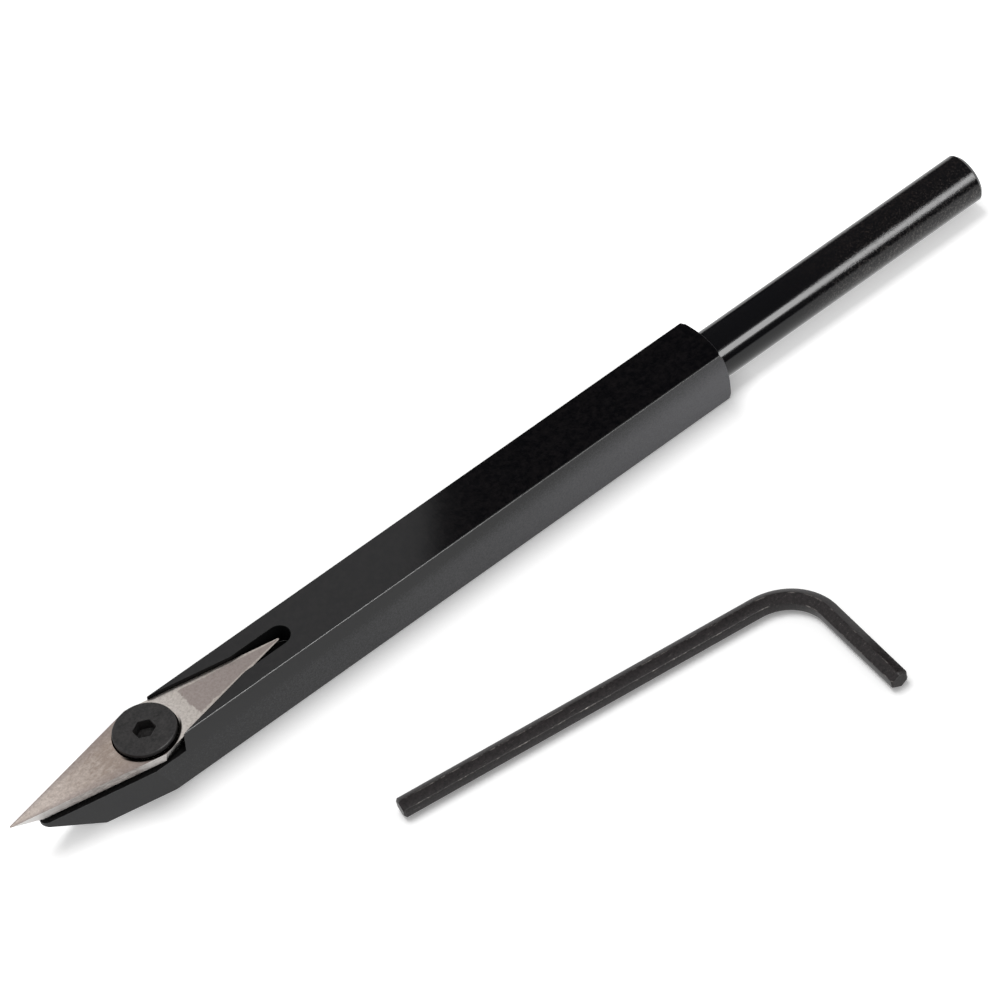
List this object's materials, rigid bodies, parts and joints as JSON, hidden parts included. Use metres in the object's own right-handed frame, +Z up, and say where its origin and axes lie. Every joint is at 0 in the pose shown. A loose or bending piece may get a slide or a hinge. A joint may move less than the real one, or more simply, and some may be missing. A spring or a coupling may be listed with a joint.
{
  "type": "carbide turning tool",
  "caption": "Square black steel turning tool bar with a round tang, a screwed double-ended diamond carbide insert in a milled pocket, and the hex key for its clamp screw.",
  "frame": {"origin": "on the underside of the square bar, in its middle plane, halfway between the nose's front end and the shoulder", "axes": "+X along the bar from the cutting point towards the tang, +Z up through the insert's top face, +Y across the bar away from the key"},
  "size_m": [0.1752, 0.0702, 0.0098],
  "materials": {
    "shank_black_oxide": "satin",
    "tungsten_carbide": "satin",
    "screw_black_oxide": "satin",
    "key_black_oxide": "satin"
  },
  "bodies": {
    "shank": {"tool_shank": "shank_black_oxide"},
    "insert": {"carbide_insert": "tungsten_carbide"},
    "screw": {"clamp_screw": "screw_black_oxide"},
    "key": {"hex_key": "key_black_oxide"}
  },
  "joints": [
    {"name": "insert_lift", "type": "slide", "parent": "shank", "child": "insert", "axis": [0, 0, 1], "range_m": [0, 0.0044]},
    {"name": "screw_turn", "type": "hinge", "parent": "insert", "child": "screw", "pos_m": [-0.04133, 0, 0.00978], "axis": [0, 0, 1], "range_deg": [0, 1980]},
    {"name": "key_lift", "type": "slide", "parent": "shank", "child": "key", "axis": [0, 0, 1], "range_m": [0, 0.05]}
  ],
  "couplings": [
    {"joint": "screw_turn", "follows": "insert_lift", "rad_per_m": 7854}
  ]
}
